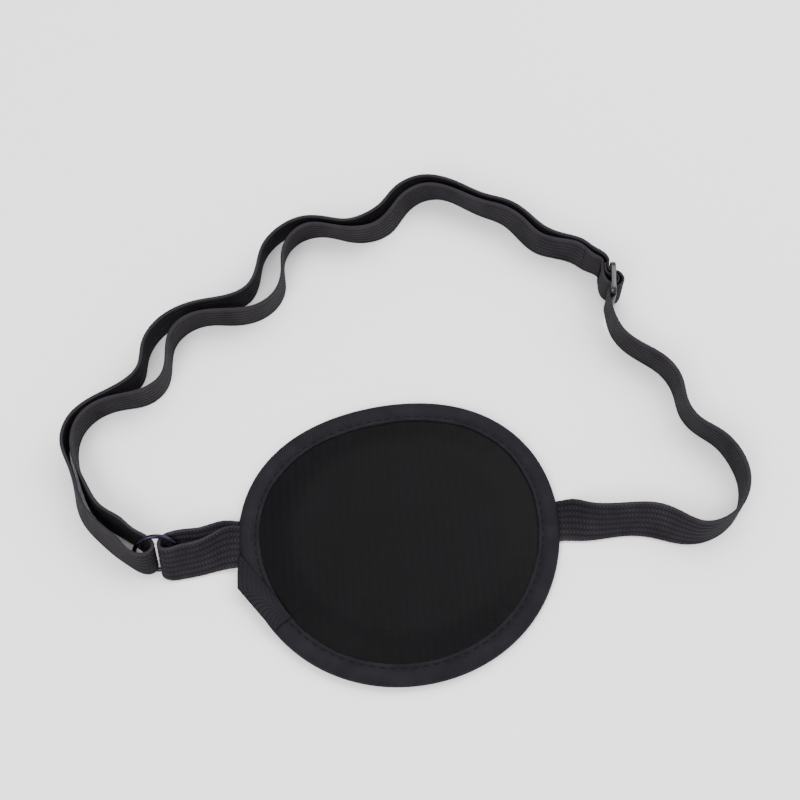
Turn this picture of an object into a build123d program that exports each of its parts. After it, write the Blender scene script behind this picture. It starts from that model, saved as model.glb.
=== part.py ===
"""Padded eye patch on an adjustable elastic strap, lying on a table. All sizes in millimetres.

The origin is the middle of the patch's back, on the table. +X runs along the strap's two seams, towards the
strap side, +Y towards the far side of the strap's loop, and +Z up.
"""
from build123d import *
import math
import os

os.makedirs("parts", exist_ok=True)

# ---- driving sizes: patch ----
PATCH_WIDTH = 89.9  # across the padded layers, the long way
PATCH_HEIGHT = 82.8
PATCH_TILT = 6.9  # how far the long way is turned up from +X
PATCH_MIDDLE_X = 0.2
PATCH_MIDDLE_Y = -2.0
LOBE = 0.5  # how much fuller than an ellipse it is at three places round it
LOBE_TURN = 46.0  # the first of them, from the long way
OUTLINE_POINTS = 16  # points of the closed curve that draws the outline

FABRIC = 0.5  # face fabric and lining, each
FOAM_EDGE = 1.2  # foam pressed flat under the binding
FOAM_MIDDLE = 3.7  # foam left free
TAPE = 0.6  # binding tape
BINDING_REACH = 5.0  # how far the tape comes in over the layers, front and back
BINDING_LIFT = 0.2  # back of the binding above the table
CROWN_SLOPE = 7.0  # width of the slope between the pressed edge and the free foam
EDGE_ROUND = 1.2  # radius of the folded tape

STITCH_LENGTH = 2.0
STITCH_WIDTH = 0.4
STITCH_HEIGHT = 0.2
STITCH_INSET = 4.2  # seam, in from the layers' edge
STITCH_COUNT = 88
SEAM_HIDE = 13.0  # turn each side of a sewn end, where the back row runs under the elastic
LAP_FROM = 182.0  # turn where the tape's folded end starts its diagonal, at the rim
LAP_INNER = 206.0  # turn where the diagonal reaches the tape's inner edge
LAP_TO = 216.0  # turn where the lap runs out
LAP_CORNER_X = -46.6
LAP_CORNER_Y = -13.4

# ---- driving sizes: elastic ----
ELASTIC_WIDTH = 12.0
ELASTIC = 1.0  # thickness
TAB_GATHERED = 10.6  # tab's width where the ring draws it in
STRAP_GATHERED = 9.2  # strap's width there
STRAP_RISE = 0.7  # how much higher in the ring the strap's fold sits than the tab's
STRAP_SPREAD = 1.2  # how much further behind the ring the strap's back run is, once past it
GATHER_LENGTH = 8.0  # run over which it narrows
SECTION_PITCH = 3.0  # spacing of the sections along a strand
SEAM_DEPTH = 9.0  # how far a sewn end reaches in behind the patch
SEAM_PAST = 1.0  # how far it stays flat past the binding
SEAM_MARGIN = 0.15  # room round a sewn end, where the layers give way
STRAP_SEAM_Y = 0.6
TAB_FRONT_SEAM_Y = -0.8
TAB_BACK_SEAM_Y = 1.2
FLEX_GAP = 0.2  # between a sewn end and the elastic that twists away from it
TACK_WIDTH = 1.2
TACK_ROWS = 5
TACK_THREAD = 0.4  # width of one row of thread
TACK_EDGE = 0.5  # tack to the elastic's edge

# ---- driving sizes: ring ----
RING_WIRE = 1.3  # wire diameter
RING_INNER = 11.3  # diameter of its hole
RING_ROLL = 62.0  # its plane, turned up from the table about X
RING_CLEAR = 0.3  # wire to elastic
FOLD_CLEAR = 0.15  # each fold's outside to the ring's middle
PAST_RING = 5.4  # straight run of elastic between a fold and its clear of the wire
RING_X = -68.2
RING_Y = -2.3
RING_LIFT = 0.05  # wire above the table

# ---- driving sizes: slider ----
SLIDER_LENGTH = 11.5
SLIDER_THICK = 1.6
SLIDER_END_BAR = 1.5
SLIDER_MIDDLE_BAR = 1.6
SLIDER_RAIL = 1.15
SLIDER_CLEAR = 0.15  # slot to elastic, above and below
SLIDER_HEADING = 84.0  # direction of the strap through it, turned up from +X
SLIDER_X = 68.5
SLIDER_Y = 70.7
SLIDER_CORNER = 1.0
SLIDER_EDGE = 0.3
THIN_ELASTIC = 0.7  # elastic where the slider pinches it
LAYER_GAP = 0.1  # between layers at the slider
STRAP_BULGE = 0.9  # how far the strap stands off the sewn end, over the middle bar
END_RUN = 0.4  # straight elastic past each end of the slider
END_SHORT = 1.0  # how much shorter the sewn end's last layer is
BAR_CLEAR = 0.3  # middle bar to the elastic sewn round it
SIDE_CLEAR = 0.5  # sewn end to the strap that slides beside it, in a slot
CORNER_EASE = 0.15  # how far a bend's points stand off an end bar's corner
BAR_LOOP_BEND = 0.9  # bend of the sewn end's middle line at each corner of the middle bar

# ---- heights, from the table up ----
leg_top = BINDING_LIFT + TAPE
lining_edge_top = leg_top + FABRIC
foam_edge_top = lining_edge_top + FOAM_EDGE
face_edge_top = foam_edge_top + FABRIC
binding_top = face_edge_top + TAPE
foam_middle_top = FABRIC + FOAM_MIDDLE
face_middle_top = foam_middle_top + FABRIC
elastic_bottom = BINDING_LIFT
ELASTIC_GAP = 0.1  # between the tab's two layers where they are sewn


def outline_point(turn, inset):
    """Point of the patch's outline at a turn in degrees, moved in by inset."""
    angle = math.radians(turn - PATCH_TILT)
    fuller = LOBE * math.cos(3 * (angle - math.radians(LOBE_TURN))) - inset
    x = (PATCH_WIDTH / 2 + fuller) * math.cos(angle)
    y = (PATCH_HEIGHT / 2 + fuller) * math.sin(angle)
    point = Vector(x, y).rotate(Axis.Z, PATCH_TILT) + Vector(PATCH_MIDDLE_X, PATCH_MIDDLE_Y)
    return (point.X, point.Y)


def outline_sketch(height, inset):
    """Face of the patch's outline at a height."""
    turns = [360 * i / OUTLINE_POINTS for i in range(OUTLINE_POINTS)]
    with BuildSketch(Plane.XY.offset(height)) as face:
        with BuildLine():
            Spline(*[outline_point(turn, inset) for turn in turns], periodic=True)
        make_face()
    return face.sketch


def plate(bottom, top, inset):
    """Flat layer with the patch's outline."""
    with BuildPart() as made:
        add(outline_sketch(bottom, inset))
        extrude(amount=top - bottom)
    return made.part


def crown(height_edge, height_middle, inset_edge):
    """Slope from the pressed edge to the free middle."""
    with BuildPart() as made:
        add(outline_sketch(height_edge, inset_edge))
        add(outline_sketch(height_middle, inset_edge + CROWN_SLOPE))
        loft(ruled=True)
    return made.part


def finish(made, label):
    """Names a finished piece and writes it."""
    made.part.label = label
    export_step(made.part, f"parts/{label}.step")


# ---- sewn ends of the elastic, behind the patch's two sides ----
right_edge = outline_point(0, 0)[0]
left_edge = outline_point(180, 0)[0]
seam_reach = TAPE + SEAM_PAST  # sewn end past the layers' edge
tab_stack = 2 * ELASTIC + ELASTIC_GAP


def seam_block(x_low, x_high, y_middle, bottom, thickness, margin):
    """Straight run of flat elastic, or the room for it."""
    with BuildPart() as made:
        with BuildSketch(Plane.XY.offset(bottom)):
            with Locations(((x_low + x_high) / 2, y_middle)):
                Rectangle(x_high - x_low + 2 * margin, ELASTIC_WIDTH + 2 * margin)
        extrude(amount=thickness + margin)
    return made.part


strap_seam = (right_edge - SEAM_DEPTH, right_edge + seam_reach)
tab_seam = (left_edge - seam_reach, left_edge + SEAM_DEPTH)
tab_upper_bottom = elastic_bottom + ELASTIC + ELASTIC_GAP

with BuildPart() as strap_sewn_end:
    add(seam_block(*strap_seam, STRAP_SEAM_Y, elastic_bottom, ELASTIC, 0))

with BuildPart() as tab_sewn_end:
    add(seam_block(*tab_seam, TAB_BACK_SEAM_Y, elastic_bottom, ELASTIC, 0))
    add(seam_block(*tab_seam, TAB_FRONT_SEAM_Y, tab_upper_bottom, ELASTIC, 0))

with BuildPart() as seam_room:
    add(seam_block(*strap_seam, STRAP_SEAM_Y, 0, elastic_bottom + ELASTIC, SEAM_MARGIN))
    add(seam_block(*tab_seam, TAB_BACK_SEAM_Y, 0, elastic_bottom + ELASTIC, SEAM_MARGIN))
    add(seam_block(*tab_seam, TAB_FRONT_SEAM_Y, 0, elastic_bottom + tab_stack, SEAM_MARGIN))

# ---- patch layers ----
with BuildPart() as foam_core:
    add(plate(lining_edge_top, foam_edge_top, 0))
    add(crown(foam_edge_top, foam_middle_top, BINDING_REACH + FABRIC))
    add(crown(lining_edge_top, FABRIC, BINDING_REACH + FABRIC))
    add(seam_room.part, mode=Mode.SUBTRACT)

with BuildPart() as face_fabric:
    add(plate(foam_edge_top, face_edge_top, 0))
    add(crown(face_edge_top, face_middle_top, BINDING_REACH))
    add(foam_core.part, mode=Mode.SUBTRACT)

with BuildPart() as lining:
    add(plate(leg_top, lining_edge_top, 0))
    add(crown(leg_top, 0, BINDING_REACH))
    add(foam_core.part, mode=Mode.SUBTRACT)
    add(seam_room.part, mode=Mode.SUBTRACT)

with BuildPart() as edge_binding:
    add(plate(BINDING_LIFT, binding_top, -TAPE))
    fillet(edge_binding.edges().group_by(Axis.Z)[0] + edge_binding.edges().group_by(Axis.Z)[-1], EDGE_ROUND)
    add(plate(leg_top, face_edge_top, 0), mode=Mode.SUBTRACT)
    add(plate(0, binding_top, BINDING_REACH), mode=Mode.SUBTRACT)
    add(seam_room.part, mode=Mode.SUBTRACT)

# ---- folded end of the tape, lapped over its start, with one corner left standing out ----
with BuildPart() as binding_lap:
    with BuildSketch(Plane.XY.offset(binding_top)):
        with BuildLine():
            Polyline(
                outline_point(LAP_FROM, 0),
                outline_point(LAP_INNER, BINDING_REACH),
                outline_point(LAP_TO, BINDING_REACH),
                outline_point(LAP_TO, 0),
                (LAP_CORNER_X, LAP_CORNER_Y),
                close=True,
            )
        make_face()
    extrude(amount=TAPE)


# ---- rows of stitches along the binding ----
def seam_row(bottom):
    """Separate stitches along the seam, each laid on the tape."""
    with BuildPart() as made:
        with BuildSketch(Plane.XY.offset(bottom)):
            for i in range(STITCH_COUNT):
                turn = 360 * (i + 0.5) / STITCH_COUNT
                x, y = outline_point(turn, STITCH_INSET)
                ahead = outline_point(turn + 1, STITCH_INSET)
                heading = math.degrees(math.atan2(ahead[1] - y, ahead[0] - x))
                hidden = min(abs(turn - 180), abs(turn), abs(turn - 360)) < SEAM_HIDE and bottom < leg_top
                lapped = LAP_FROM < turn < LAP_TO and bottom > leg_top
                if hidden or lapped:
                    continue
                with Locations(Location((x, y), heading)):
                    Rectangle(STITCH_LENGTH, STITCH_WIDTH)
        extrude(amount=STITCH_HEIGHT)
    return made.part


with BuildPart() as needle_thread:
    add(seam_row(binding_top))

with BuildPart() as bobbin_thread:
    add(seam_row(BINDING_LIFT - STITCH_HEIGHT))


def bar_tack(x_middle, y_middle):
    """Close rows of stitches across an elastic's sewn end, on the wearer's side."""
    with BuildPart() as made:
        with BuildSketch():
            with Locations((x_middle, y_middle)):
                with GridLocations(TACK_WIDTH, 0, 2, 1):
                    Rectangle(TACK_THREAD, ELASTIC_WIDTH - 2 * TACK_EDGE)
                with GridLocations(0, (ELASTIC_WIDTH - 4 * TACK_EDGE) / (TACK_ROWS - 1), 1, TACK_ROWS):
                    Rectangle(TACK_WIDTH, TACK_THREAD)
        extrude(amount=elastic_bottom)
    return made.part


with BuildPart() as strap_stitches:
    add(bar_tack(right_edge - STITCH_INSET, STRAP_SEAM_Y))

with BuildPart() as tab_stitches:
    add(bar_tack(left_edge + STITCH_INSET, TAB_BACK_SEAM_Y))


# ---- strands of elastic ----
def count_of(curve, pitch):
    """How many stretches a strand is made of."""
    return max(4, round(curve.length / pitch))


def ribbon(route, start_width=ELASTIC_WIDTH, end_width=ELASTIC_WIDTH, thickness=ELASTIC, pitch=SECTION_PITCH,
           start_way=None, end_way=None):
    """Flat elastic along a route of (x, y, z, roll) points on its lower edge.

    roll 0 lies flat to the left of the way it runs, 90 stands on edge. z is the lowest corner's height.
    start_way and end_way turn the sections at its two ends.
    """
    points = [Vector(x, y, z) for x, y, z, roll in route]
    with BuildLine():
        curve = Spline(*points)
    fixed_ways = {0: start_way, count_of(curve, pitch): end_way}
    stops = [0.0] + [curve.param_at_point(point) for point in points[1:-1]] + [1.0]
    rolls = [roll for x, y, z, roll in route]
    count = count_of(curve, pitch)
    with BuildPart() as made:
        for i in range(count + 1):
            along = i / count
            k = max(j for j in range(len(stops) - 1) if stops[j] <= along)
            share = (along - stops[k]) / (stops[k + 1] - stops[k])
            turn = math.radians(rolls[k] + (rolls[k + 1] - rolls[k]) * share * share * (3 - 2 * share))
            tangent = fixed_ways.get(i) or curve % along
            tangent = Vector(tangent.X, tangent.Y, 0).normalized()
            across = Vector(-tangent.Y, tangent.X, 0) * math.cos(turn) + Vector(0, 0, 1) * math.sin(turn)
            lift = thickness / 2 * abs(math.cos(turn))
            middle = (curve @ along) + across * (ELASTIC_WIDTH / 2) + Vector(0, 0, lift)
            run = curve.length * along
            from_start = start_width + (ELASTIC_WIDTH - start_width) * min(1, run / GATHER_LENGTH)
            from_end = end_width + (ELASTIC_WIDTH - end_width) * min(1, (curve.length - run) / GATHER_LENGTH)
            with BuildSketch(Plane(middle, x_dir=across, z_dir=tangent)):
                Rectangle(min(from_start, from_end), thickness)
        loft(ruled=True)
    return made.part


# ---- ring, and the two folds that link through it ----
roll = math.radians(RING_ROLL)
ring_middle_radius = (RING_INNER + RING_WIRE) / 2
ring_z = ring_middle_radius * math.sin(roll) + RING_WIRE / 2 + RING_LIFT
ring_up = Vector(0, math.cos(roll), math.sin(roll))
ring_front = Vector(0, -math.sin(roll), math.cos(roll))
ring_middle = Vector(RING_X, RING_Y, ring_z)
layer_offset = RING_WIRE / 2 + RING_CLEAR + ELASTIC / 2
fold_outer = layer_offset + ELASTIC / 2
fold_inner = layer_offset - ELASTIC / 2

with BuildPart() as ring:
    with BuildSketch(Plane(ring_middle, x_dir=(1, 0, 0), z_dir=ring_up)):
        with Locations((ring_middle_radius, 0)):
            Circle(RING_WIRE / 2)
    revolve(axis=Axis(ring_middle, ring_front))


def fold(side, width, rise):
    """Half turn of elastic through the ring: side 1 is the tab's, side -1 the strap's."""
    hub = ring_middle + Vector(side * (fold_outer + FOLD_CLEAR), 0, 0)
    base = Plane(hub + ring_up * (rise - width / 2), x_dir=(1, 0, 0), z_dir=ring_up)
    with BuildPart() as made:
        with BuildSketch(base):
            Circle(fold_outer)
            Circle(fold_inner, mode=Mode.SUBTRACT)
            with Locations((side * fold_outer, 0)):
                Rectangle(2 * fold_outer, 4 * fold_outer, mode=Mode.SUBTRACT)
        extrude(amount=width)
    return made.part


with BuildPart() as tab_fold:
    add(fold(1, TAB_GATHERED, 0))

with BuildPart() as strap_fold:
    add(fold(-1, STRAP_GATHERED, STRAP_RISE))


def fold_end(side, face, rise, away, spread):
    """Route point at a fold's straight end, or away from it. face 1 is towards the front, -1 behind."""
    point = ring_middle + Vector(side * (fold_outer + FOLD_CLEAR + away), 0, 0)
    point = point + ring_front * (face * (layer_offset + spread)) + ring_up * (rise - ELASTIC_WIDTH / 2)
    return (point.X, point.Y, point.Z - ELASTIC / 2 * math.cos(roll), RING_ROLL)


def straight_run(side, face, rise=0.0, spread=0.0):
    """Route points from a fold's end to clear of the ring's wire, spreading from the ring's plane as they go."""
    return [fold_end(side, face, rise, PAST_RING * share, spread * share) for share in (0, 0.5, 1)]


# ---- slider ----
heading = math.radians(SLIDER_HEADING)
slider_along = Vector(math.cos(heading), math.sin(heading), 0)
slider_out = Vector(math.sin(heading), -math.cos(heading), 0)
slot_height = ELASTIC_WIDTH + 2 * SLIDER_CLEAR
slider_height = slot_height + 2 * SLIDER_RAIL
slot_length = (SLIDER_LENGTH - 2 * SLIDER_END_BAR - SLIDER_MIDDLE_BAR) / 2
strap_lift = SLIDER_RAIL + SLIDER_CLEAR
slider_middle = Vector(SLIDER_X, SLIDER_Y, slider_height / 2)
slider_plane = Plane(slider_middle - slider_out * (SLIDER_THICK / 2), x_dir=slider_along, z_dir=slider_out)

with BuildPart() as slider:
    with BuildSketch(slider_plane):
        RectangleRounded(SLIDER_LENGTH, slider_height, SLIDER_CORNER)
        with GridLocations(slot_length + SLIDER_MIDDLE_BAR, 0, 2, 1):
            Rectangle(slot_length, slot_height, mode=Mode.SUBTRACT)
    extrude(amount=SLIDER_THICK)
    fillet(slider.faces().sort_by(Axis((0, 0, 0), slider_out))[-1].outer_wire().edges(), SLIDER_EDGE)


def by_slider(along, out, height=strap_lift, roll_angle=90.0):
    """Route point measured from the slider's middle, along the strap and out of the loop."""
    point = Vector(SLIDER_X, SLIDER_Y, 0) + slider_along * along + slider_out * out
    return (point.X, point.Y, height, roll_angle)


half = SLIDER_THICK / 2
under = half + LAYER_GAP + THIN_ELASTIC / 2  # first layer on the inner side of the slider
sewn_under = under + THIN_ELASTIC + BAR_CLEAR  # the sewn end's two layers, further in
last_under = sewn_under + THIN_ELASTIC + LAYER_GAP
round_bar = SLIDER_MIDDLE_BAR / 2 + BAR_CLEAR + THIN_ELASTIC / 2  # sewn end round the middle bar
strap_side = round_bar + THIN_ELASTIC + SIDE_CLEAR  # sliding strap beside the sewn end
bend_out = strap_side + 4 * CORNER_EASE  # where each bend meets the run under an end bar
bulge = round_bar + THIN_ELASTIC + STRAP_BULGE
slider_end = SLIDER_LENGTH / 2 + END_RUN
past_bar = slot_length + SLIDER_MIDDLE_BAR / 2  # end bar's inner corner


def in_plan(route):
    """Plan positions of (along, out) points measured from the slider's middle."""
    return [by_slider(along, out)[:2] for along, out in route]


# strap over the middle bar, bulging out of the loop
rise = [
    (-slider_end, -under),
    (-past_bar - CORNER_EASE, -under - CORNER_EASE),
    (-bend_out, -half - CORNER_EASE),
    (-strap_side, 0),
    (-strap_side + 2 * CORNER_EASE, bulge / 2),
    (-round_bar, bulge - 4 * CORNER_EASE),
]
hump_route = rise + [(0, bulge)] + [(-along, out) for along, out in reversed(rise)]

# sewn end: in along the inner side, round the middle bar, and back beside itself
bar_loop_route = [
    (slider_end, -last_under),
    (SLIDER_MIDDLE_BAR / 2, -last_under),
    (-round_bar, -half - CORNER_EASE),
    (-round_bar, round_bar),
    (round_bar, round_bar),
    (round_bar, -half - 2 * CORNER_EASE),
    (bend_out, -sewn_under),
    (slider_end - END_SHORT, -sewn_under),
]

with BuildPart() as strap_in_slider:
    with BuildSketch(Plane.XY.offset(strap_lift)):
        with BuildLine():
            Spline(*in_plan(hump_route))
        trace(line_width=THIN_ELASTIC)
    extrude(amount=ELASTIC_WIDTH)

with BuildPart() as strap_bar_loop:
    with BuildSketch(Plane.XY.offset(strap_lift)):
        with BuildLine():
            FilletPolyline(*in_plan(bar_loop_route), radius=BAR_LOOP_BEND)
        trace(line_width=THIN_ELASTIC)
    extrude(amount=ELASTIC_WIDTH)

# ---- strands lying in their wavy loop: points chosen along the lower edge ----
STRAP_SINGLE = [
    (52.0, -5.9, 0.1, 36),
    (58.0, -5.5, 0.0, 53),
    (64.5, -5.2, 0.0, 57),
    (71.0, -6.3, 0.0, 53),
    (78.0, -8.5, 0.0, 62),
    (84.5, -8.7, 0.0, 78),
    (91.0, -6.1, 0.0, 87),
    (95.8, -1.2, 0.0, 91),
    (98.1, 6.3, 0.0, 94),
    (96.6, 14.2, 0.0, 94),
    (93.0, 20.5, 0.0, 90),
    (88.0, 25.0, 0.0, 88),
    (84.6, 30.5, 0.0, 91),
    (83.6, 37.5, 0.0, 93),
    (80.8, 44.0, 0.0, 91),
    (74.6, 49.6, 0.0, 89),
    (69.4, 54.8, 0.3, 89),
]
STRAP_INNER = [
    (61.6, 81.2, 0.6, 93),
    (60.2, 82.5, 0.5, 94),
    (55.0, 85.5, 0.0, 91),
    (48.5, 88.0, 0.0, 92),
    (43.5, 93.5, 0.0, 94),
    (39.0, 99.0, 0.0, 87),
    (33.0, 102.3, 0.0, 83),
    (27.3, 106.0, 0.0, 81),
    (21.3, 109.2, 0.0, 80),
    (14.8, 108.8, 0.0, 86),
    (9.0, 104.2, 0.0, 94),
    (4.8, 98.8, 0.0, 95),
    (-1.2, 96.0, 0.0, 87),
    (-8.0, 96.3, 0.0, 82),
    (-14.5, 98.4, 0.0, 79),
    (-21.3, 98.2, 0.0, 83),
    (-26.8, 94.5, 0.0, 84),
    (-29.3, 88.0, 0.0, 87),
    (-29.2, 81.0, 0.0, 90),
    (-32.2, 74.8, 0.0, 87),
    (-38.0, 71.1, 0.0, 86),
    (-45.0, 70.3, 0.0, 87),
    (-52.2, 70.8, 0.0, 85),
    (-58.8, 68.6, 0.0, 87),
    (-63.0, 63.6, 0.0, 89),
    (-64.0, 56.8, 0.0, 90),
    (-65.8, 50.2, 0.0, 88),
    (-71.2, 46.0, 0.0, 89),
    (-78.8, 44.9, 0.0, 87),
    (-85.2, 42.7, 0.0, 88),
    (-90.0, 37.8, 0.0, 89),
    (-91.6, 31.0, 0.0, 89),
    (-90.6, 24.0, 0.0, 87),
    (-88.4, 16.4, 0.0, 82),
    (-84.5, 10.0, 0.0, 82),
    (-80.8, 6.2, 0.0, 80),
    (-77.8, 2.6, 0.2, 76),
    (-75.6, -0.9, 0.7, 69),
]
STRAP_OUTER = [
    (63.8, 82.0, 0.6, 91),
    (61.6, 84.0, 0.5, 92),
    (56.0, 87.2, 0.0, 91),
    (50.0, 90.3, 0.0, 92),
    (45.6, 95.0, 0.0, 93),
    (40.6, 100.9, 0.0, 87),
    (34.3, 104.3, 0.0, 83),
    (28.5, 108.2, 0.0, 81),
    (21.8, 112.0, 0.0, 80),
    (13.5, 111.8, 0.0, 86),
    (6.6, 106.8, 0.0, 93),
    (2.2, 101.8, 0.0, 93),
    (-2.8, 99.6, 0.0, 88),
    (-8.2, 99.1, 0.0, 82),
    (-14.5, 100.8, 0.0, 79),
    (-22.0, 100.8, 0.0, 83),
    (-30.2, 97.4, 0.0, 83),
    (-35.6, 90.0, 0.0, 86),
    (-37.2, 82.8, 0.0, 88),
    (-40.0, 77.8, 0.0, 87),
    (-45.6, 75.2, 0.0, 86),
    (-53.0, 74.4, 0.0, 85),
    (-61.0, 71.9, 0.0, 87),
    (-67.6, 66.8, 0.0, 89),
    (-71.0, 60.0, 0.0, 90),
    (-72.4, 53.4, 0.0, 89),
    (-77.6, 48.6, 0.0, 88),
    (-85.6, 44.6, 0.0, 88),
    (-92.2, 39.0, 0.0, 89),
    (-94.2, 31.2, 0.0, 90),
    (-92.3, 23.2, 0.0, 87),
    (-91.2, 15.0, 0.0, 81),
    (-88.9, 9.3, 0.0, 80),
    (-84.8, 3.8, 0.0, 80),
    (-80.2, -1.6, 0.6, 74),
]
# tab, from the ring to the patch
TAB_FRONT = [
    (-57.0, -7.3, 0.4, 54),
    (-51.5, -7.0, 0.7, 38),
]
TAB_BACK = [
    (-57.0, -4.5, 0.0, 51),
    (-51.5, -4.7, 0.1, 32),
]
# short runs that stretch and close up as the slider moves
FEED_IN = [
    (69.28, 55.0, 0.3, 89),
    (67.4, 59.2, 0.8, 90),
    by_slider(-slider_end - FLEX_GAP, -under),
]
FEED_OUT = [
    by_slider(slider_end + FLEX_GAP, -under),
    (66.9, 79.4, 1.0, 90),
    (64.12, 81.68, 0.6, 91),
]
FEED_BACK = [
    by_slider(slider_end + FLEX_GAP, -last_under),
    (64.6, 79.2, 1.0, 92),
    (61.95, 80.82, 0.6, 93),
]

along_x = Vector(1, 0, 0)
strap_start_x = right_edge + seam_reach + FLEX_GAP
tab_start_x = left_edge - seam_reach - FLEX_GAP
single_route = [(strap_start_x, STRAP_SEAM_Y - ELASTIC_WIDTH / 2, elastic_bottom, 2)] + STRAP_SINGLE
tab_front_end = (tab_start_x, TAB_FRONT_SEAM_Y - ELASTIC_WIDTH / 2, tab_upper_bottom, 2)
tab_back_end = (tab_start_x, TAB_BACK_SEAM_Y - ELASTIC_WIDTH / 2, elastic_bottom, 2)
tab_front_route = straight_run(1, 1) + TAB_FRONT + [tab_front_end]
tab_back_route = straight_run(1, -1) + TAB_BACK + [tab_back_end]
outer_route = STRAP_OUTER + straight_run(-1, 1, STRAP_RISE)[::-1]
inner_route = STRAP_INNER + straight_run(-1, -1, STRAP_RISE, STRAP_SPREAD)[1::-1]

with BuildPart() as strap_single:
    add(ribbon(single_route, start_way=along_x))

with BuildPart() as strap_feed_in:
    add(ribbon(FEED_IN, end_way=slider_along))

with BuildPart() as strap_feed_out:
    add(ribbon(FEED_OUT, start_way=slider_along))

with BuildPart() as strap_feed_back:
    add(ribbon(FEED_BACK, start_way=slider_along))

with BuildPart() as strap_outer:
    add(ribbon(outer_route, end_width=STRAP_GATHERED, end_way=along_x))

with BuildPart() as strap_inner:
    add(ribbon(inner_route, end_width=STRAP_GATHERED, end_way=along_x))

with BuildPart() as tab_front:
    add(ribbon(tab_front_route, start_width=TAB_GATHERED, start_way=along_x, end_way=along_x))

with BuildPart() as tab_back:
    add(ribbon(tab_back_route, start_width=TAB_GATHERED, start_way=along_x, end_way=along_x))

# ---- bar tack that closes the strap's end beside the slider ----
tack_x, tack_y = by_slider(slider_end - END_SHORT - TACK_WIDTH, -last_under - THIN_ELASTIC / 2)[:2]
tack_middle = (tack_x, tack_y, strap_lift + ELASTIC_WIDTH / 2)
tack_plane = Plane(tack_middle, x_dir=slider_along, z_dir=-slider_out)
with BuildPart() as slider_stitches:
    with BuildSketch(tack_plane):
        with GridLocations(TACK_WIDTH, 0, 2, 1):
            Rectangle(TACK_THREAD, ELASTIC_WIDTH - 4 * TACK_EDGE)
        with GridLocations(0, (ELASTIC_WIDTH - 6 * TACK_EDGE) / (TACK_ROWS - 1), 1, TACK_ROWS):
            Rectangle(TACK_WIDTH, TACK_THREAD)
    extrude(amount=STITCH_HEIGHT)

finish(face_fabric, "face_fabric")
finish(foam_core, "foam_core")
finish(lining, "lining")
finish(edge_binding, "edge_binding")
finish(binding_lap, "binding_lap")
finish(needle_thread, "needle_thread")
finish(bobbin_thread, "bobbin_thread")
finish(strap_sewn_end, "strap_sewn_end")
finish(strap_stitches, "strap_stitches")
finish(strap_single, "strap_single")
finish(strap_feed_in, "strap_feed_in")
finish(strap_in_slider, "strap_in_slider")
finish(strap_feed_out, "strap_feed_out")
finish(strap_outer, "strap_outer")
finish(strap_fold, "strap_fold")
finish(strap_inner, "strap_inner")
finish(strap_feed_back, "strap_feed_back")
finish(strap_bar_loop, "strap_bar_loop")
finish(slider_stitches, "slider_stitches")
finish(tab_sewn_end, "tab_sewn_end")
finish(tab_stitches, "tab_stitches")
finish(tab_front, "tab_front")
finish(tab_back, "tab_back")
finish(tab_fold, "tab_fold")
finish(ring, "ring")
finish(slider, "slider")
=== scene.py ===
"""Padded eye patch on an adjustable elastic strap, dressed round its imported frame.

Sizes are in millimetres, and turn to metres as each mesh is made. The origin is the middle of the patch's
back, on the table; +X runs through the strap's two seams, +Y to the far side of its loop and +Z up.
"""
import logging
import math
from dataclasses import dataclass, field
from enum import Enum

import bpy
import numpy as np
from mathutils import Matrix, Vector


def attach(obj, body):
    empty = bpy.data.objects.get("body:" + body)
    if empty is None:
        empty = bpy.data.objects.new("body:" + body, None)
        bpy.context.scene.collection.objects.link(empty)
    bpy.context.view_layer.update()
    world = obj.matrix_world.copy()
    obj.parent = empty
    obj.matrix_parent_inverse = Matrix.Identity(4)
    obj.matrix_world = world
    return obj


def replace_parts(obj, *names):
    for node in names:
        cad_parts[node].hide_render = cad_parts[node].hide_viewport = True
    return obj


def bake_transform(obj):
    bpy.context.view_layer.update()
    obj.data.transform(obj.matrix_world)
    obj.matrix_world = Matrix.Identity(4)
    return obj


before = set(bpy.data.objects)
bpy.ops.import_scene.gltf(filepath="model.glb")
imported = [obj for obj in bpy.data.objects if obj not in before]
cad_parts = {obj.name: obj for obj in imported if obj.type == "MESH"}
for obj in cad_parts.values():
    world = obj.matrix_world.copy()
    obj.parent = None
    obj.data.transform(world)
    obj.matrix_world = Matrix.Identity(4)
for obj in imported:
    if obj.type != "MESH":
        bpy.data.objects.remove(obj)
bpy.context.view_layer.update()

Tree = bpy.types.NodeTree
Socket = bpy.types.NodeSocket
Piece = bpy.types.Object
Route = list[tuple[float, float, float, float]]  # X, Y, height and roll along an elastic's lower edge

log = logging.getLogger("eye_patch")
MM = 0.001  # metres in a millimetre
TABLE_CLEAR = 0.03  # nothing reaches nearer to the table than this
UNEVEN = np.random.default_rng(11)  # small irregularities of sewn work, the same each run


class Body(str, Enum):
    """Rigid groups of the frame that pieces ride on."""

    PATCH = "patch"
    LOOP = "strap_loop"
    SLIDER = "slider"
    RING = "ring"


# ---- meshes ----
def smooth_step(share: np.ndarray) -> np.ndarray:
    """Rises from 0 to 1 with level ends: three times the share squared less twice its cube.

    Args:
        share: Places along the rise; anything outside 0 to 1 is held at the ends.

    Returns:
        The height at each place.
    """
    held = np.clip(share, 0.0, 1.0)
    return held * held * (3 - 2 * held)


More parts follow.
